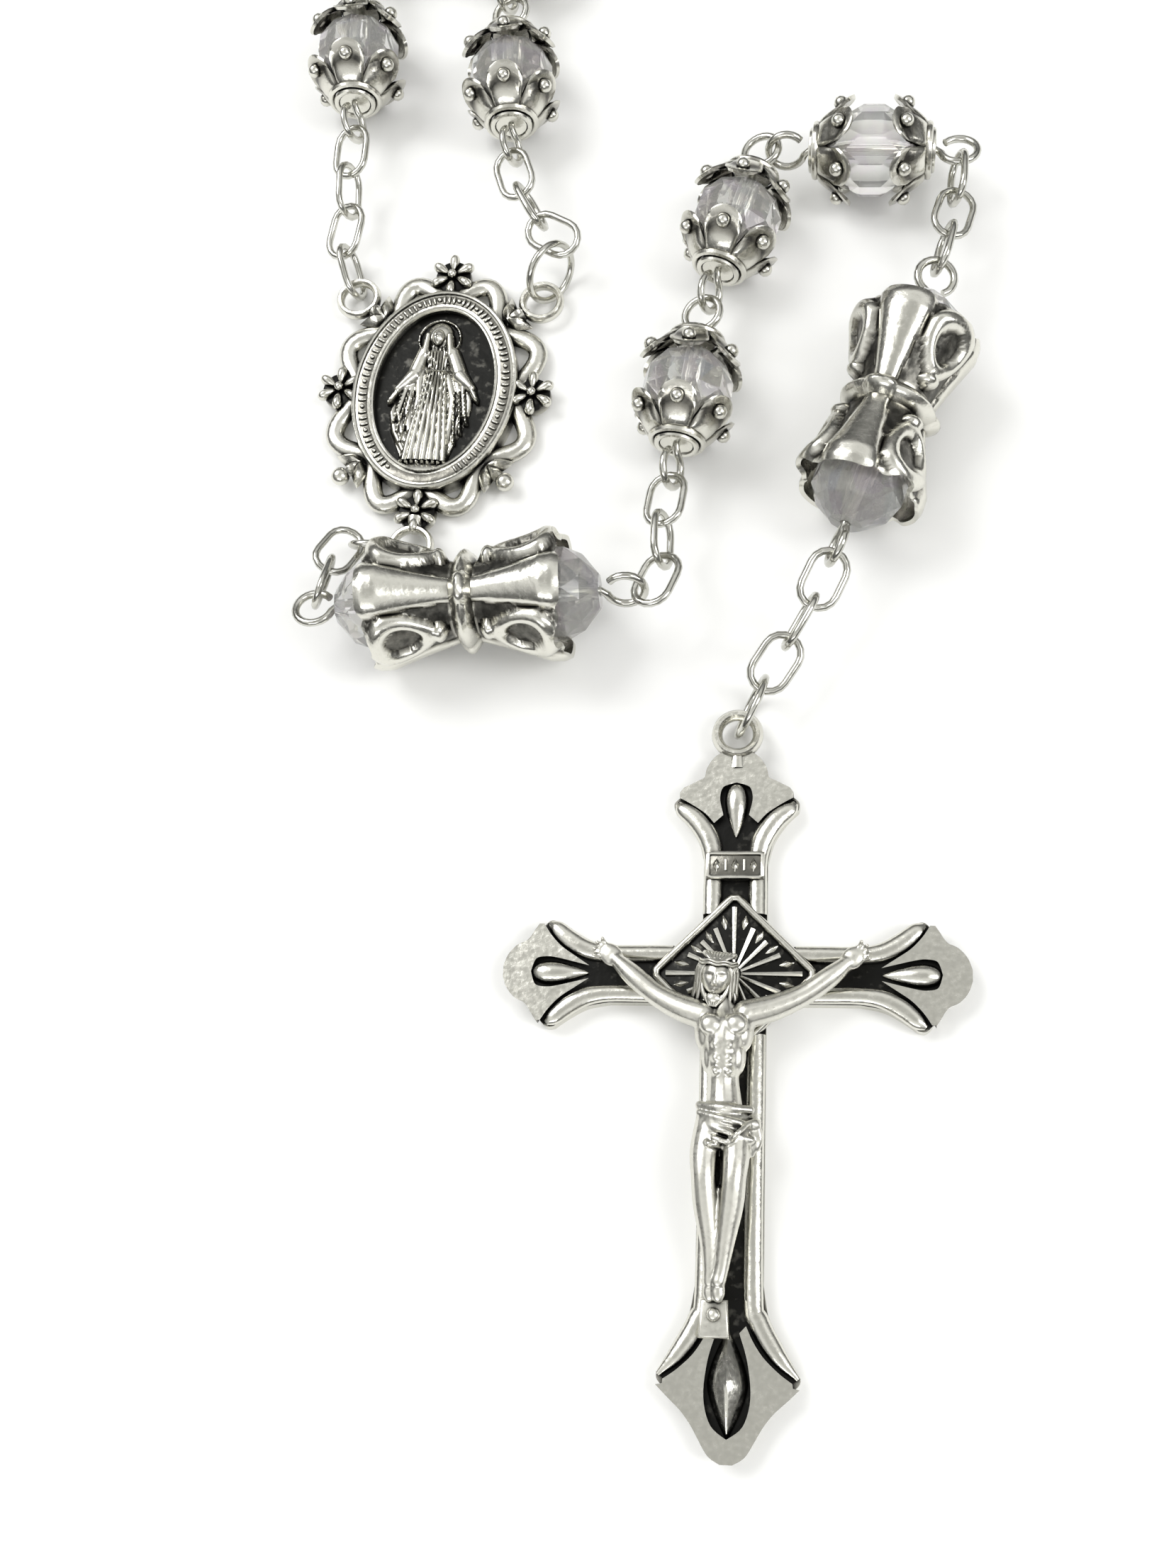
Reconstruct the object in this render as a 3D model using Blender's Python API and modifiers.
"""A five-decade rosary laid out on a table: crucifix, pendant chain, medal centre and bead loop.

Everything is worked out in millimetres and written to the meshes in metres. The table is z = 0.
The chain is walked from the medal outwards. Its rings and eyes stand alternately "edge" (steep)
and "flat" (nearly level). Each joint is the end wire of an edge ring, a post, with the
end arc of a flat ring hooked round it.
"""
import math

import bmesh
import bpy
from mathutils import Matrix, Vector

MM = 0.001

# Clearances
WIRE_GAP = 0.33          # between two wires that hook into each other
BAIL_GAP = 0.9           # the jump ring climbs steeply through the bail
EAR_GAP = 0.85           # a ring climbs through an ear as well
SEAT_GAP = 0.12          # between a casting or crystal and what it seats on

# Wires and links
LINK_WIRE = 0.65
LINK_LENGTH = 5.7        # outside
LINK_WIDTH = 3.8         # outside
PIN_WIRE = 0.7
EYE_OUTER = 4.0
EYE_STANDOFF = 0.15      # from the bead's end to its eye
JUMP_RING_WIRE = 0.65
JUMP_RING_OUTER = 6.0
EDGE_LEAN = 70.0         # degrees out of level, of the steep rings
FLAT_LEAN = -16.0        # of the nearly level rings
JUMP_RING_LEAN = 72.0

# Crystals and their silver
CRYSTAL_DIAMETER = 8.0
CRYSTAL_LENGTH = 7.5
CRYSTAL_TABLE = 3.0      # diameter of the flat at each end of a crystal
BORE = 1.4               # of every crystal, cap and sleeve
CAP_SPAN = 11.2          # a Hail Mary bead, over its two caps
CAP_TIP_RADIUS = 4.6
CAP_NECK_RADIUS = 2.1
CAP_DEPTH = 3.8
CAP_WALL = 0.45
SLEEVE_LENGTH = 17.2
SLEEVE_MOUTH_RADIUS = 5.9
SLEEVE_WAIST_RADIUS = 3.3
SLEEVE_BAND_RADIUS = 4.8
SLEEVE_BAND_WIDTH = 1.8
SLEEVE_WALL = 0.6
OUR_FATHER_SPAN = 22.7   # over the ends of its two crystals
SIDES = 12               # facets round a bead

# Medal
MEDAL_WIDTH = 15.4       # of the oval plate
MEDAL_HEIGHT = 20.6
MEDAL_RIM_WIDTH = 1.5
MEDAL_PLATE = 1.5        # thickness of the oval
MEDAL_RIM_HEIGHT = 2.2
FRAME_BAND = 1.3         # thickness of the scalloped frame
FRAME_REACH = 2.7        # how far its lobes stand out from their roots
FLOWER_RADIUS = 2.1
FLOWER_HEIGHT = 2.3
EAR_HOLE_RADIUS = 1.4
EAR_BAND = 0.75
EAR_THICKNESS = 1.0
EAR_ROOT_RADIUS = 1.7    # of the lump that ties an upper ear to the frame
EAR_HEIGHT = 1.3         # height of an ear's middle above the table
BOTTOM_EAR_DROP = 3.5    # from the lowest flower's middle to the bottom ear's
UPPER_EAR_ANGLE = 47.8   # degrees above the medal's width, seen from its middle
UPPER_EAR_RADIUS = 13.1

# Crucifix
ARM_LENGTH = 18.4        # crossing to the end of each side arm
HEAD_LENGTH = 18.4
FOOT_LENGTH = 36.6
BAR_HALF_WIDTH = 2.6
ARM_HALF_WIDTH = 2.35
FLARE_HALF_WIDTH = 4.3
HEAD_FLARE_HALF_WIDTH = 5.1
FOOT_FLARE_HALF_WIDTH = 5.4
CROSS_THICKNESS = 1.8
DIAMOND_HALF = 6.3       # of the square turned on its corner at the crossing
BAIL_HOLE_RADIUS = 1.25
BAIL_BAND = 0.95
BAIL_THICKNESS = 1.2
BAIL_RISE = 2.0          # from the head's end to the bail's middle
BAIL_HEIGHT = 1.6
CORPUS_HAND_SPAN = 20.0
CORPUS_ARM_RISE = 4.2    # hands above the shoulders
CORPUS_HEIGHT = 29.5

# Layout, in degrees anticlockwise from +X, and millimetres
MEDAL_MIDDLE = (-14.4, 37.4)
MEDAL_TURN = -6.5
CRUCIFIX_HEADING = -92.4
LOOP_AXIS = -15.2        # the loop is even about this x
BASE_SLOPE = 52.0        # degrees below level, where the third decade begins
SHOULDER_TURNS = (110.0, 200.0)  # between these lies the bend of the first decade
HAIL_MARY_HEIGHT = 4.65
OUR_FATHER_HEIGHT = 5.98
LOOP_WIRE = 1.0

# Derived sizes
EYE_RADIUS = (EYE_OUTER - PIN_WIRE) / 2
HOOK = (LINK_WIRE + PIN_WIRE) / 2 + WIRE_GAP
EYE_REACH = EYE_RADIUS - HOOK
LINK_END_RADIUS = (LINK_WIDTH - LINK_WIRE) / 2
LINK_REACH = LINK_END_RADIUS - HOOK
LINK_STRAIGHT = LINK_LENGTH - LINK_WIDTH
EDGE_PITCH = LINK_LENGTH - LINK_WIRE
FLAT_PITCH = LINK_STRAIGHT + 2 * LINK_REACH
RING_PITCH = JUMP_RING_OUTER - JUMP_RING_WIRE
EAR_REACH = EAR_HOLE_RADIUS - LINK_WIRE / 2 - EAR_GAP
BAIL_REACH = BAIL_HOLE_RADIUS - JUMP_RING_WIRE / 2 - BAIL_GAP
HAIL_MARY_EYE = CAP_SPAN / 2 + EYE_STANDOFF + EYE_OUTER / 2
OUR_FATHER_EYE = OUR_FATHER_SPAN / 2 + EYE_STANDOFF + EYE_OUTER / 2
CRYSTAL_SHOULDER = CRYSTAL_DIAMETER / 2 * 0.87
SHOULDER_HEIGHT = CRYSTAL_LENGTH / 2 * 0.56
CRYSTAL_OFFSET = (OUR_FATHER_SPAN - CRYSTAL_LENGTH) / 2
OPEN_PIVOT_REACH = 0.0   # the loop's open pivot keeps its post in the middle of its eye

JOINTS = {}              # piece name: (post of its joint, body it hangs on), in millimetres


# ---------------------------------------------------------------- scene and helpers

def clear_scene():
    for thing in list(bpy.data.objects):
        bpy.data.objects.remove(thing, do_unlink=True)


def new_collection(name):
    group = bpy.data.collections.new(name)
    bpy.context.scene.collection.children.link(group)
    return group


clear_scene()
PARTS = new_collection("rosary")
CUTTERS = new_collection("rosary_cutters")
TABLE_FRAME = bpy.data.objects.new("table_frame", None)
PARTS.objects.link(TABLE_FRAME)


def finish(name, colour, metallic, roughness, transmission=0.0):
    material = bpy.data.materials.new(name)
    material.use_nodes = True
    shader = material.node_tree.nodes["Principled BSDF"]
    shader.inputs["Base Color"].default_value = (*colour, 1.0)
    shader.inputs["Metallic"].default_value = metallic
    shader.inputs["Roughness"].default_value = roughness
    shader.inputs["Transmission Weight"].default_value = transmission
    return material


ANTIQUE_SILVER = finish("antique_silver", (0.62, 0.61, 0.58), 1.0, 0.32)
BRIGHT_SILVER = finish("bright_silver", (0.80, 0.80, 0.78), 1.0, 0.18)
CRYSTAL_GLASS = finish("crystal_glass", (0.93, 0.95, 0.96), 0.0, 0.04, 0.9)


def heading(degrees):
    angle = math.radians(degrees)
    return Vector((math.cos(angle), math.sin(angle), 0.0))


def placement(origin, along, lean=0.0):
    """Local x runs along, and local y leans out of level by lean degrees about it."""
    x = Vector(along).normalized()
    side = Vector((-x.y, x.x, 0.0)).normalized()
    above = x.cross(side)
    angle = math.radians(lean)
    y = math.cos(angle) * side + math.sin(angle) * above
    z = x.cross(y)
    turn = Matrix((x, y, z)).transposed().to_4x4()
    return Matrix.Translation(Vector(origin) * MM) @ turn


def adopt(piece, place, group=PARTS):
    group.objects.link(piece)
    piece.parent = TABLE_FRAME if group is PARTS else None
    piece.matrix_world = place
    return piece


def wire(name, path, diameter, place, material, cyclic=False, radii=None, resolution=1, group=PARTS):
    """A bent wire: a POLY spline with a round bevel and filled ends."""
    curve = bpy.data.curves.new(name, "CURVE")
    curve.dimensions = "3D"
    curve.bevel_depth = diameter / 2 * MM
    curve.bevel_resolution = resolution
    curve.use_fill_caps = not cyclic
    spline = curve.splines.new("POLY")
    spline.points.add(len(path) - 1)
    for index, (point, location) in enumerate(zip(spline.points, path)):
        point.co = (*(Vector(location) * MM), 1.0)
        point.radius = radii[index] if radii else 1.0
    spline.use_cyclic_u = cyclic
    curve.materials.append(material)
    return adopt(bpy.data.objects.new(name, curve), place, group)


def turned(name, profile, steps, place, material, group=PARTS):
    """A closed profile of (radius, height) turned about local z."""
    mesh = bpy.data.meshes.new(name)
    points = [(r * MM, 0.0, z * MM) for r, z in profile]
    edges = [(i, (i + 1) % len(points)) for i in range(len(points))]
    mesh.from_pydata(points, edges, [])
    mesh.materials.append(material)
    piece = adopt(bpy.data.objects.new(name, mesh), place, group)
    screw = piece.modifiers.new("turn", "SCREW")
    screw.angle = math.tau
    screw.steps = screw.render_steps = steps
    screw.use_merge_vertices = True
    screw.merge_threshold = 0.000002
    screw.use_smooth_shade = False
    return piece


def as_mesh(piece, weld=0.000001):
    """Replace a curve or a modified piece by its own evaluated mesh."""
    bpy.context.view_layer.update()
    graph = bpy.context.evaluated_depsgraph_get()
    mesh = bpy.data.meshes.new_from_object(piece.evaluated_get(graph))
    work = bmesh.new()
    work.from_mesh(mesh)
    bmesh.ops.remove_doubles(work, verts=work.verts, dist=weld)
    bmesh.ops.recalc_face_normals(work, faces=work.faces)
    work.to_mesh(mesh)
    work.free()
    group = piece.users_collection[0]
    name, place = piece.name, piece.matrix_world.copy()
    bpy.data.objects.remove(piece, do_unlink=True)
    return adopt(bpy.data.objects.new(name, mesh), place, group)


def unite(piece, others):
    """Join solids that run into each other to one body."""
    bpy.context.view_layer.update()
    for other in others:
        join = piece.modifiers.new("join_" + other.name, "BOOLEAN")
        join.operation = "UNION"
        join.solver = "EXACT"
        join.object = other
        other.hide_render = True
        other.display_type = "WIRE"
    return piece


def flat_plate(name, outlines, thickness, place, material, lift=0.0, group=PARTS):
    """A plate on local z = lift: the first outline is its edge and the others are holes."""
    curve = bpy.data.curves.new(name, "CURVE")
    curve.dimensions = "2D"
    curve.fill_mode = "BOTH"
    curve.extrude = thickness / 2 * MM
    for outline in outlines:
        spline = curve.splines.new("POLY")
        spline.points.add(len(outline) - 1)
        for point, (x, y) in zip(spline.points, outline):
            point.co = (x * MM, y * MM, 0.0, 1.0)
        spline.use_cyclic_u = True
    curve.materials.append(material)
    raised = place @ Matrix.Translation((0.0, 0.0, (lift + thickness / 2) * MM))
    return as_mesh(adopt(bpy.data.objects.new(name, curve), raised, group))


def ellipse(width, height, count, middle=(0.0, 0.0)):
    return [(middle[0] + width / 2 * math.cos(math.tau * i / count),
             middle[1] + height / 2 * math.sin(math.tau * i / count)) for i in range(count)]


def boss(name, radii, middle, place, segments=12, rings=8):
    """A rounded lump of the three given radii, for joining to a casting."""
    mesh = bpy.data.meshes.new(name)
    work = bmesh.new()
    bmesh.ops.create_uvsphere(work, u_segments=segments, v_segments=rings, radius=MM)
    bmesh.ops.scale(work, vec=Vector(radii), verts=work.verts)
    bmesh.ops.translate(work, vec=Vector(middle) * MM, verts=work.verts)
    work.to_mesh(mesh)
    work.free()
    return adopt(bpy.data.objects.new(name, mesh), place, CUTTERS)


def along_local_z(place):
    """The same place with local z where local x was."""
    return place @ Matrix.Rotation(math.radians(90.0), 4, "Y")


# ---------------------------------------------------------------- rings and pins

def racetrack(length, width, wire_diameter, per_end=5):
    """Centreline of a link that starts at its near end wire and runs along +x."""
    radius = (width - wire_diameter) / 2
    near = radius
    far = length - wire_diameter - radius
    path = []
    for middle, start in ((far, -90.0), (near, 90.0)):
        for i in range(per_end):
            angle = math.radians(start + 180.0 * i / (per_end - 1))
            path.append((middle + radius * math.cos(angle), radius * math.sin(angle), 0.0))
    return path


def link(name, post, direction, edge):
    lean = EDGE_LEAN if edge else FLAT_LEAN
    return wire(name, racetrack(LINK_LENGTH, LINK_WIDTH, LINK_WIRE), LINK_WIRE,
                placement(post, direction, lean), BRIGHT_SILVER, cyclic=True)


def jump_ring(name, post, direction):
    radius = (JUMP_RING_OUTER - JUMP_RING_WIRE) / 2
    path = [(radius - radius * math.cos(math.tau * i / 14), radius * math.sin(math.tau * i / 14), 0.0)
            for i in range(14)]
    return wire(name, path, JUMP_RING_WIRE, placement(post, direction, JUMP_RING_LEAN),
                BRIGHT_SILVER, cyclic=True)


def eye(middle, facing, lean, first):
    """Points of a loop at x = middle whose stem leaves it towards facing (+1 or -1)."""
    angle = math.radians(lean)
    points = []
    for degrees in range(45, 341, 37):
        turn = math.radians(degrees)
        out = EYE_RADIUS * math.sin(turn)
        points.append((middle + facing * EYE_RADIUS * math.cos(turn),
                       out * math.cos(angle), out * math.sin(angle)))
    points.append((middle + facing * (EYE_RADIUS + PIN_WIRE / 2), 0.0, 0.0))
    return points if first else points[::-1]


def eye_pin(name, origin, direction, eye_offset, first_lean, last_lean, shift):
    """A wire through a bead with a loop at each end. shift is the bead's middle on local x."""
    path = eye(shift - eye_offset, 1, first_lean, True) + eye(shift + eye_offset, -1, last_lean, False)
    return wire(name, path, PIN_WIRE, placement(origin, direction), BRIGHT_SILVER)


# ---------------------------------------------------------------- beads

def crystal(name, middle, direction):
    half = CRYSTAL_LENGTH / 2
    profile = [(CRYSTAL_TABLE / 2, half), (CRYSTAL_SHOULDER, SHOULDER_HEIGHT),
               (CRYSTAL_DIAMETER / 2, 0.0), (CRYSTAL_SHOULDER, -SHOULDER_HEIGHT),
               (CRYSTAL_TABLE / 2, -half), (BORE / 2, -half), (BORE / 2, half)]
    place = along_local_z(placement(middle, direction))
    return turned(name, profile, SIDES, place, CRYSTAL_GLASS)


def crown_cap(name, middle, direction):
    """A six-petalled cap. Its neck is on the side that direction points to."""
    base = CAP_SPAN / 2
    rim = base - CAP_DEPTH
    seat = max(base - 0.85, CRYSTAL_LENGTH / 2 + SEAT_GAP + CAP_WALL)
    knee = (CAP_NECK_RADIUS + CAP_TIP_RADIUS) / 2
    knee_height = (rim + base) / 2 + 0.25
    profile = [(CAP_NECK_RADIUS - 0.2, base), (CAP_NECK_RADIUS + 0.1, base - 0.45),
               (CAP_NECK_RADIUS - 0.1, seat), (knee, knee_height),
               (CAP_TIP_RADIUS - 0.4, rim + 1.0), (CAP_TIP_RADIUS, rim),
               (CAP_TIP_RADIUS - CAP_WALL, rim), (CAP_TIP_RADIUS - 0.4 - CAP_WALL, rim + 0.9),
               (knee - CAP_WALL, knee_height - CAP_WALL / 2), (BORE / 2, seat - CAP_WALL),
               (BORE / 2, base)]
    piece = turned(name, profile, SIDES, along_local_z(placement(middle, direction)), ANTIQUE_SILVER)
    piece = as_mesh(piece)
    notch = Vector((knee - CAP_WALL / 2, knee_height))
    for vertex in piece.data.vertices:
        flat = Vector((vertex.co.x, vertex.co.y)) / MM
        height = vertex.co.z / MM
        column = round(math.atan2(flat.y, flat.x) / (math.tau / SIDES))
        if column % 2 and height < knee_height - CAP_WALL and flat.length > knee - CAP_WALL / 2:
            radius = flat.length + 0.6 * (notch.x - flat.length)
            height += 0.6 * (notch.y - height)
            vertex.co = (*(flat.normalized() * radius * MM), height * MM)
    return piece


def bow_sleeve(name, middle, direction):
    """The double-flared sleeve over the two crystals of an Our Father bead."""
    half = SLEEVE_LENGTH / 2
    band = SLEEVE_BAND_WIDTH / 2
    seat = CRYSTAL_OFFSET - CRYSTAL_LENGTH / 2 - SEAT_GAP
    clear = CRYSTAL_DIAMETER / 2 + SEAT_GAP
    side = [(SLEEVE_MOUTH_RADIUS, half), (clear + SLEEVE_WALL, half * 0.62),
            (SLEEVE_WAIST_RADIUS, half * 0.3), (SLEEVE_WAIST_RADIUS, band + 0.1),
            (SLEEVE_BAND_RADIUS, band)]
    inside = [(SLEEVE_MOUTH_RADIUS - SLEEVE_WALL, half), (clear, half - 1.0),
              (clear, CRYSTAL_OFFSET - SEAT_GAP),
              (CRYSTAL_SHOULDER + SEAT_GAP, CRYSTAL_OFFSET - SHOULDER_HEIGHT - SEAT_GAP),
              (CRYSTAL_TABLE / 2 + SEAT_GAP, seat), (BORE / 2, seat)]
    outer = side + [(r, -z) for r, z in reversed(side)]
    inner = [(r, -z) for r, z in inside] + list(reversed(inside))
    place = along_local_z(placement(middle, direction))
    return turned(name, outer + inner, SIDES, place, ANTIQUE_SILVER)


# ---------------------------------------------------------------- walking the chain

class Walk:
    """Lays chain pieces one after another, and notes where each hangs."""

    def __init__(self, middle, reach, directions, parent):
        self.directions = directions
        self.step = 0
        self.parent = parent
        self.post = Vector(middle) + reach * self.level(0)

    def level(self, step):
        flat = Vector(self.directions[step])
        flat.z = 0.0
        return flat.normalized()

    def slope(self, rise, pitch):
        """Direction of this step when its far end is rise higher."""
        climb = rise / pitch
        return self.level(self.step) * math.sqrt(1.0 - climb * climb) + Vector((0.0, 0.0, climb))

    def hang(self, name, post):
        JOINTS[name] = (tuple(post), self.parent)
        self.parent = name
        self.step += 1

    def edge_link(self, name, height, ring=False):
        pitch = RING_PITCH if ring else EDGE_PITCH
        direction = self.slope(height - self.post.z, pitch)
        if ring:
            jump_ring(name, self.post, direction)
        else:
            link(name, self.post, direction, True)
        start = self.post
        self.post = start + pitch * direction
        self.hang(name, start)

    def flat_link(self, name, height):
        """Hooks its near arc round the last post, and ends at the next edge ring's post."""
        direction = self.slope(height - self.post.z, FLAT_PITCH)
        rise = Vector((0.0, 0.0, LINK_REACH * direction.z))
        near = self.post + LINK_REACH * self.level(self.step - 1) + rise
        link(name, near - LINK_END_RADIUS * direction, direction, False)
        far = near + LINK_STRAIGHT * direction
        start = self.post
        self.post = far + LINK_REACH * self.level(self.step + 1) + rise
        self.hang(name, start)

    def pin(self, name, eye_offset, edge_first):
        """Lays an eye pin level and returns its bead's middle."""
        direction = self.level(self.step)
        if edge_first:
            shift = EYE_RADIUS + eye_offset
            origin = self.post
            leans = (EDGE_LEAN, FLAT_LEAN)
        else:
            shift = eye_offset
            origin = self.post + EYE_REACH * self.level(self.step - 1)
            leans = (FLAT_LEAN, EDGE_LEAN)
        eye_pin(name, origin, direction, eye_offset, *leans, shift)
        middle = origin + shift * direction
        start = self.post
        if edge_first:
            self.post = middle + eye_offset * direction + EYE_REACH * self.level(self.step + 1)
        else:
            self.post = middle + (eye_offset + EYE_RADIUS) * direction
        self.hang(name, start)
        return middle, direction

    def hail_mary(self, number):
        stem = f"hail_mary_{number}"
        middle, direction = self.pin(stem + "_eye_pin", HAIL_MARY_EYE, True)
        crystal(stem + "_crystal", middle, direction)
        crown_cap(stem + "_cap_near", middle, -direction)
        crown_cap(stem + "_cap_far", middle, direction)
        JOINTS[stem + "_crystal"] = (tuple(middle), stem + "_eye_pin", tuple(direction))

    def our_father(self, number):
        stem = f"our_father_{number}"
        middle, direction = self.pin(stem + "_eye_pin", OUR_FATHER_EYE, False)
        bow_sleeve(stem + "_bow_sleeve", middle, direction)
        crystal(stem + "_crystal_near", middle - CRYSTAL_OFFSET * direction, direction)
        crystal(stem + "_crystal_far", middle + CRYSTAL_OFFSET * direction, direction)
        JOINTS[stem + "_bow_sleeve"] = (tuple(middle), stem + "_eye_pin", tuple(direction))


# ---------------------------------------------------------------- the loop's long strands

def bead_stations(kind):
    """(distance from the bead's middle, radius, lift) along a simplified bead of a loop strand."""
    wire_radius = LOOP_WIRE / 2
    lift = 0.0 if kind == "hail_mary" else OUR_FATHER_HEIGHT - HAIL_MARY_HEIGHT
    if kind == "hail_mary":
        half = CAP_SPAN / 2
        side = [(half + 0.1, wire_radius), (half, CAP_NECK_RADIUS), (half - CAP_DEPTH, CAP_TIP_RADIUS)]
    else:
        half = OUR_FATHER_SPAN / 2
        side = [(half + 0.1, wire_radius), (half, CRYSTAL_TABLE / 2),
                (SLEEVE_LENGTH / 2 + 0.6, CRYSTAL_DIAMETER / 2),
                (SLEEVE_LENGTH / 2, SLEEVE_MOUTH_RADIUS), (1.2, SLEEVE_WAIST_RADIUS)]
    return [(-s, r, lift) for s, r in side] + [(s, r, lift) for s, r in reversed(side)]


def strand_plan(kinds):
    """Distance of each bead's middle from the strand's first post, and of its last eye's middle."""
    places = []
    post = 0.0
    for kind in kinds:
        if kind == "hail_mary":
            middle = post + EYE_RADIUS + HAIL_MARY_EYE
            last_eye = middle + HAIL_MARY_EYE
            post = last_eye + EYE_REACH
        else:
            middle = post + 2 * EDGE_PITCH + FLAT_PITCH + EYE_REACH + OUR_FATHER_EYE
            last_eye = middle + OUR_FATHER_EYE + FLAT_PITCH + EDGE_PITCH
            post = last_eye + EYE_RADIUS + FLAT_PITCH
        places.append((middle, kind))
    return places, last_eye


def arc_point(start, first_heading, turn, length, distance):
    """A point on an arc that turns by turn degrees over its length."""
    if abs(turn) < 0.01:
        return Vector(start) + distance * heading(first_heading)
    radius = length / math.radians(turn)
    now = math.radians(first_heading + turn * distance / length)
    first = math.radians(first_heading)
    return Vector(start) + radius * Vector((math.sin(now) - math.sin(first),
                                            math.cos(first) - math.cos(now), 0.0))


def strand_end(post, first_heading, turn, kinds, reach=EYE_REACH):
    """Where the next post of a strand is, and the heading there."""
    length = strand_plan(kinds)[1]
    last = arc_point(post, first_heading, turn, length, length)
    final = first_heading + turn
    return last + reach * heading(final), final


def strand(name, post, first_heading, turn, kinds, parent, edge_end=False):
    """A decade of the loop as one beaded wire with an eye at each end."""
    places, length = strand_plan(kinds)
    stations = []
    for middle, kind in places:
        stations += [(middle + s, r, lift) for s, r, lift in bead_stations(kind)]
    path = []
    radii = []
    start = placement(post, heading(first_heading))
    for x, y, z in eye(EYE_RADIUS, 1, 90.0, True):
        path.append(start @ (Vector((x, y, z)) * MM) / MM)
        radii.append(PIN_WIRE / LOOP_WIRE)
    for distance, radius, lift in stations:
        path.append(arc_point(post, first_heading, turn, length, distance) + Vector((0.0, 0.0, lift)))
        radii.append(radius / (LOOP_WIRE / 2))
    last = arc_point(post, first_heading, turn, length, length)
    finish_place = placement(last, heading(first_heading + turn))
    for x, y, z in eye(0.0, -1, 90.0 if edge_end else 0.0, False):
        path.append(finish_place @ (Vector((x, y, z)) * MM) / MM)
        radii.append(PIN_WIRE / LOOP_WIRE)
    origin = Vector(post)
    wire(name, [Vector(p) - origin for p in path], LOOP_WIRE, Matrix.Translation(origin * MM),
         ANTIQUE_SILVER, radii=radii)
    JOINTS[name] = (tuple(post), parent)


def newton(function, guess, rounds=12, nudge=0.01):
    """Solve two equations in two unknowns."""
    a, b = guess
    for _ in range(rounds):
        fx, fy = function(a, b)
        ax, ay = function(a + nudge, b)
        bx, by = function(a, b + nudge)
        jxa, jya = (ax - fx) / nudge, (ay - fy) / nudge
        jxb, jyb = (bx - fx) / nudge, (by - fy) / nudge
        size = jxa * jyb - jxb * jya
        a -= (fx * jyb - fy * jxb) / size
        b -= (fy * jxa - fx * jya) / size
    return a, b


def lay_loop(left_post, right_post):
    """Lead both sides out over the top, down round the pendant, and close them below the crucifix."""
    ten = ["hail_mary"] * 10
    nine = ["hail_mary"] * 9
    second = ["our_father"] + ten
    third = ["our_father"] + ten + ["our_father"]
    base_heading = 360.0 - BASE_SLOPE

    def left_end(turn):
        post, now = strand_end(left_post, 90.0, turn, nine)
        return post, now, strand_end(post, now, base_heading - now, second)[0]

    half_base = strand_end((0, 0, 0), -BASE_SLOPE, 2 * BASE_SLOPE, third, EYE_RADIUS)[0].x / 2

    def left_miss(turn):
        return left_end(turn)[2].x + half_base - LOOP_AXIS

    low, high = SHOULDER_TURNS
    for _ in range(40):
        turn = (low + high) / 2
        if left_miss(turn) * left_miss(low) > 0:
            low = turn
        else:
            high = turn
    second_post, second_heading, third_post = left_end(turn)
    base_end = strand_end(third_post, base_heading, 2 * BASE_SLOPE, third, EYE_RADIUS)[0]

    def right_miss(first_turn, next_turn):
        post, now = strand_end(right_post, 90.0, first_turn, nine)
        end = strand_end(post, now, next_turn, second, OPEN_PIVOT_REACH)[0]
        return end.x - base_end.x, end.y - base_end.y

    fifth_turn, fourth_turn = newton(right_miss, (-turn, second_heading - base_heading))
    fourth_post, fourth_heading = strand_end(right_post, 90.0, fifth_turn, nine)

    strand("decade_1_strand", left_post, 90.0, turn, nine, "hail_mary_4_eye_pin")
    strand("decade_2_strand", second_post, second_heading, base_heading - second_heading, second,
           "decade_1_strand")
    strand("decade_3_strand", third_post, base_heading, 2 * BASE_SLOPE, third, "decade_2_strand", True)
    strand("decade_5_strand", right_post, 90.0, fifth_turn, nine, "hail_mary_5_eye_pin")
    strand("decade_4_strand", fourth_post, fourth_heading, fourth_turn, second, "decade_5_strand")
    JOINTS["loop_open_pivot"] = (tuple(base_end), "decade_3_strand")


# ---------------------------------------------------------------- medal

def medal_place():
    return placement((*MEDAL_MIDDLE, 0.0), heading(MEDAL_TURN))


def flower_middles():
    x = MEDAL_WIDTH / 2 + 1.4
    y = MEDAL_HEIGHT / 2 + 2.0
    return [(x, 0.0), (0.0, y), (-x, 0.0), (0.0, -y)]


def ear_middles():
    angle = math.radians(UPPER_EAR_ANGLE)
    x, y = UPPER_EAR_RADIUS * math.cos(angle), UPPER_EAR_RADIUS * math.sin(angle)
    return {"left": (-x, y), "right": (x, y), "bottom": (0.0, flower_middles()[3][1] - BOTTOM_EAR_DROP)}


def ear_in_layout(which):
    x, y = ear_middles()[which]
    spot = medal_place() @ Vector((x * MM, y * MM, EAR_HEIGHT * MM))
    return spot / MM


def scalloped_frame(count=48):
    """Middle line of the frame: eight lobes that dip into the oval between their crests."""
    path = []
    for i in range(count):
        angle = math.tau * i / count
        out = FRAME_REACH * math.sin(4.0 * angle) ** 2 - FRAME_BAND / 2
        path.append(((MEDAL_WIDTH / 2 + out) * math.cos(angle),
                     (MEDAL_HEIGHT / 2 + out) * math.sin(angle), FRAME_BAND / 2 + 0.05))
    return path


def annulus(middle, hole, band, count=10):
    outer = ellipse(2 * (hole + band), 2 * (hole + band), count, middle)
    return [outer, ellipse(2 * hole, 2 * hole, count, middle)]


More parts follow.
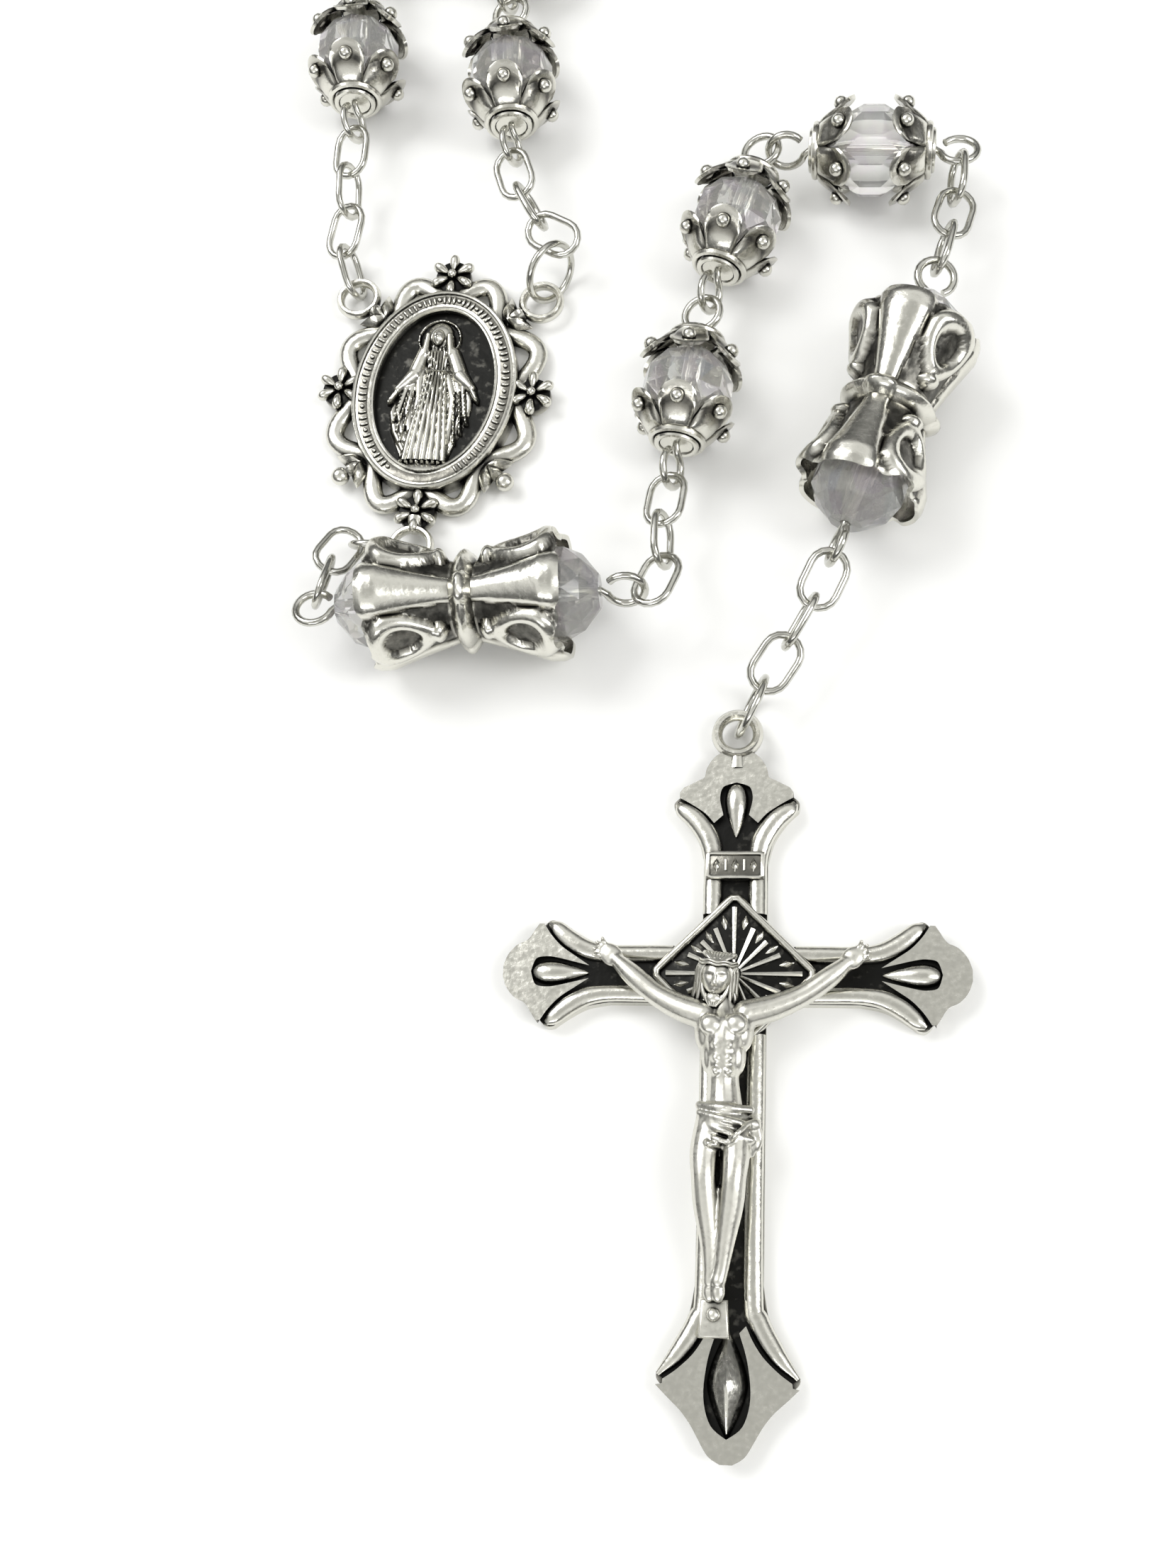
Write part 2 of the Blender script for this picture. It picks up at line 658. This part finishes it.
def make_medal():
    place = medal_place()
    oval = ellipse(MEDAL_WIDTH - 0.3, MEDAL_HEIGHT - 0.3, 28)
    medal = flat_plate("medal_centre", [oval], MEDAL_PLATE, place, ANTIQUE_SILVER)
    inner = (MEDAL_WIDTH - 2 * MEDAL_RIM_WIDTH, MEDAL_HEIGHT - 2 * MEDAL_RIM_WIDTH)
    rim_lines = [ellipse(MEDAL_WIDTH, MEDAL_HEIGHT, 28), ellipse(*inner, 28)]
    frame = wire("medal_frame", scalloped_frame(), FRAME_BAND, place, ANTIQUE_SILVER, cyclic=True,
                 group=CUTTERS)
    joined = [as_mesh(frame), flat_plate("medal_rim", rim_lines, MEDAL_RIM_HEIGHT - 0.15, place,
                                         ANTIQUE_SILVER, 0.15, CUTTERS)]
    for index, middle in enumerate(flower_middles()):
        outline = ellipse(2 * FLOWER_RADIUS, 2 * FLOWER_RADIUS, 10, middle)
        joined.append(flat_plate(f"medal_flower_{index}", [outline], FLOWER_HEIGHT - 0.1, place,
                                 ANTIQUE_SILVER, 0.1, CUTTERS))
    for which, middle in ear_middles().items():
        lines = annulus(middle, EAR_HOLE_RADIUS, EAR_BAND)
        joined.append(flat_plate(f"medal_ear_{which}", lines, EAR_THICKNESS, place, ANTIQUE_SILVER,
                                 EAR_HEIGHT - EAR_THICKNESS / 2, CUTTERS))
        if which != "bottom":
            inward = Vector(middle).normalized()
            root = inward * (UPPER_EAR_RADIUS - EAR_HOLE_RADIUS - EAR_ROOT_RADIUS - 0.2)
            size = (EAR_ROOT_RADIUS, EAR_ROOT_RADIUS, EAR_THICKNESS * 0.6)
            joined.append(boss(f"medal_ear_root_{which}", size, (*root, EAR_HEIGHT), place, 8, 6))
    figure_height = MEDAL_HEIGHT - 2 * MEDAL_RIM_WIDTH - 1.0
    joined.append(boss("medal_robe", (3.2, figure_height * 0.42, 1.1),
                       (0.0, -1.2, MEDAL_PLATE - 0.3), place, 10, 8))
    joined.append(boss("medal_head", (1.2, 1.5, 0.9),
                       (0.0, figure_height * 0.4, MEDAL_PLATE), place, 8, 6))
    return as_mesh(unite(medal, joined))


# ---------------------------------------------------------------- crucifix

def arm_outline(length, bar, flare, lobe, lobe_depth, end_half):
    """One side of an arm, from the crossing to its end, as (distance out, half width)."""
    tip = length - lobe_depth - 1.2
    return [(tip - 6.2, bar), (tip - 3.4, bar + 0.12 * (flare - bar)),
            (tip - 1.5, bar + 0.5 * (flare - bar)), (tip - 0.3, flare - 0.1), (tip + 0.35, flare),
            (tip + 0.8, flare - 0.55), (tip + 1.1, lobe + 0.35), (length - 0.55 * lobe_depth, lobe),
            (length - 0.15 * lobe_depth, (lobe + end_half) / 2), (length, end_half)]


def cross_outline():
    """Anticlockwise from the right arm, in the cross's own x and y about the crossing."""
    side = arm_outline(ARM_LENGTH, ARM_HALF_WIDTH, FLARE_HALF_WIDTH, 2.2, 1.7, 0.5)
    head = arm_outline(HEAD_LENGTH, BAR_HALF_WIDTH, HEAD_FLARE_HALF_WIDTH, 2.9, 2.2, 1.5)
    foot = arm_outline(FOOT_LENGTH, BAR_HALF_WIDTH, FOOT_FLARE_HALF_WIDTH, 3.0, 4.4, 0.5)
    points = []
    quarters = (((1, 0), side), ((0, 1), head), ((-1, 0), side), ((0, -1), foot))
    for (ux, uy), half in quarters:
        rising = [(d, -w) for d, w in half]
        falling = [(d, w) for d, w in reversed(half)]
        for d, w in rising + falling:
            points.append((d * ux - w * uy, d * uy + w * ux))
        corner_x = BAR_HALF_WIDTH * (1 if (ux, uy) in ((1, 0), (0, -1)) else -1)
        corner_y = ARM_HALF_WIDTH * (1 if (ux, uy) in ((1, 0), (0, 1)) else -1)
        points.append((corner_x, corner_y))
    return points


def make_crucifix(post, last_direction, parent):
    """The bail hooks round the jump ring's end wire. Local y points to the bail."""
    down = heading(CRUCIFIX_HEADING)
    bail = Vector(post) + BAIL_REACH * last_direction
    crossing = bail + (HEAD_LENGTH + BAIL_RISE) * down
    crossing.z = 0.0
    right = Vector((-down.y, down.x, 0.0))
    place = placement(crossing, right)
    cross = flat_plate("crucifix_cross", [cross_outline()], CROSS_THICKNESS, place, ANTIQUE_SILVER)
    bail_lines = annulus((0.0, HEAD_LENGTH + BAIL_RISE), BAIL_HOLE_RADIUS, BAIL_BAND, 12)
    face = CROSS_THICKNESS
    joined = [flat_plate("crucifix_bail", bail_lines, BAIL_THICKNESS, place, ANTIQUE_SILVER,
                         BAIL_HEIGHT - BAIL_THICKNESS / 2, CUTTERS)]
    half = DIAMOND_HALF
    diamond = [(half, 0.0), (0.0, half), (-half, 0.0), (0.0, -half)]
    joined.append(flat_plate("crucifix_diamond", [diamond], face, place, ANTIQUE_SILVER, 0.3, CUTTERS))
    plate_middle = HEAD_LENGTH * 0.51
    title = [(-2.2, plate_middle - 1.05), (2.2, plate_middle - 1.05),
             (2.2, plate_middle + 1.05), (-2.2, plate_middle + 1.05)]
    joined.append(flat_plate("crucifix_title_plate", [title], 1.0, place, ANTIQUE_SILVER,
                             face - 0.4, CUTTERS))
    drops = ((HEAD_LENGTH - 4.2, 0, 1, 2.2), (ARM_LENGTH - 3.8, 1, 0, 2.2), (ARM_LENGTH - 3.8, -1, 0, 2.2),
             (FOOT_LENGTH - 6.6, 0, -1, 3.7))
    for index, (distance, ux, uy, reach) in enumerate(drops):
        size = (reach if ux else 1.1, reach if uy else 1.1, 1.1)
        joined.append(boss(f"crucifix_boss_{index}", size, (distance * ux, distance * uy, face - 0.1),
                           place, 10, 6))
    as_mesh(unite(cross, joined))
    make_corpus(place, face + 0.3)
    JOINTS["crucifix_cross"] = (tuple(post), parent)


def make_corpus(place, face):
    """The figure: a tapering trunk and legs, raised arms and a head, joined to one casting."""
    lift = face + SEAT_GAP
    shoulder = -4.2
    hand = CORPUS_HAND_SPAN / 2
    foot = 1.5 - CORPUS_HEIGHT
    trunk = [(0.0, shoulder + 1.2, 0.8), (0.0, shoulder - 0.6, 1.7), (0.0, shoulder - 3.2, 1.75),
             (0.1, shoulder - 6.0, 1.4), (0.0, shoulder - 9.0, 1.75), (0.2, shoulder - 13.0, 1.6),
             (0.0, foot + 4.6, 1.1), (0.0, foot + 1.0, 0.9), (0.0, foot, 0.8)]
    body = wire("corpus", [(x, y, lift + 1.75) for x, y, _ in trunk], 2.0, place, ANTIQUE_SILVER,
                radii=[r for _, _, r in trunk], resolution=2)
    body = as_mesh(body)
    reach = [(-hand, 0.75), (-hand + 2.0, 0.6), (-5.4, 0.75), (-1.6, 1.0), (1.6, 1.0), (5.4, 0.75),
             (hand - 2.0, 0.6), (hand, 0.75)]
    rise = CORPUS_ARM_RISE / hand
    arms = wire("corpus_arms", [(x, shoulder + abs(x) * rise - 0.3, lift + 1.3) for x, _ in reach], 2.0,
                place, ANTIQUE_SILVER, radii=[r for _, r in reach], group=CUTTERS)
    head = boss("corpus_head", (1.45, 1.9, 1.5), (-0.4, shoulder + 3.0, lift + 2.0), place, 10, 8)
    as_mesh(unite(body, [as_mesh(arms), head]))


# ---------------------------------------------------------------- laying it out

def lay_pendant():
    """From the medal's bottom ear to the crucifix."""
    turns = [182, 244, 262, 0, 66, 88, 80, 79, 71, -6, -96, -108, -106, -111, -118, -122, -126, -124,
             CRUCIFIX_HEADING]
    walk = Walk(ear_in_layout("bottom"), EAR_REACH, [heading(t) for t in turns], "medal_centre")
    walk.edge_link("pendant_link_1", 2.9)
    walk.flat_link("pendant_link_2", 4.0)
    walk.edge_link("pendant_link_3", OUR_FATHER_HEIGHT)
    walk.our_father(2)
    walk.flat_link("pendant_link_4", 5.6)
    walk.edge_link("pendant_link_5", 5.0)
    walk.flat_link("pendant_link_6", HAIL_MARY_HEIGHT)
    walk.hail_mary(3)
    walk.hail_mary(2)
    walk.hail_mary(1)
    walk.edge_link("pendant_link_7", 5.1)
    walk.flat_link("pendant_link_8", 5.5)
    walk.edge_link("pendant_link_9", OUR_FATHER_HEIGHT)
    walk.our_father(1)
    walk.flat_link("pendant_link_10", 5.5)
    walk.edge_link("pendant_link_11", 4.8)
    walk.flat_link("pendant_link_12", 4.3)
    walk.edge_link("crucifix_jump_ring", BAIL_HEIGHT, ring=True)
    make_crucifix(walk.post, walk.level(walk.step - 1), "crucifix_jump_ring")


def lay_sides():
    """From the medal's two upper ears to the loop."""
    left = Walk(ear_in_layout("left"), EAR_REACH, [heading(t) for t in (104, 74, 88, 84, 89, 90)],
                "medal_centre")
    left.edge_link("left_link_1", 2.8)
    left.flat_link("left_link_2", 3.5)
    left.edge_link("left_link_3", 4.3)
    left.flat_link("left_link_4", HAIL_MARY_HEIGHT)
    left.hail_mary(4)
    right = Walk(ear_in_layout("right"), EAR_REACH, [heading(t) for t in (62, 148, 115, 106, 91, 90)],
                 "medal_centre")
    right.edge_link("right_jump_ring", 4.6, ring=True)
    right.flat_link("right_link_1", 4.6)
    right.edge_link("right_link_2", 4.6)
    right.flat_link("right_link_3", HAIL_MARY_HEIGHT)
    right.hail_mary(5)
    lay_loop(left.post, right.post)


def centre_on_table():
    """Put the middle of the whole layout over the origin."""
    bpy.context.view_layer.update()
    graph = bpy.context.evaluated_depsgraph_get()
    corners = []
    for piece in PARTS.objects:
        if piece.type != "EMPTY":
            solid = piece.evaluated_get(graph)
            corners += [piece.matrix_world @ vertex.co for vertex in solid.to_mesh().vertices]
            solid.to_mesh_clear()
    middle = [(min(c[i] for c in corners) + max(c[i] for c in corners)) / 2 for i in range(2)]
    TABLE_FRAME.location = (-middle[0], -middle[1], 0.0)
    bpy.context.view_layer.update()


make_medal()
lay_pendant()
lay_sides()
centre_on_table()
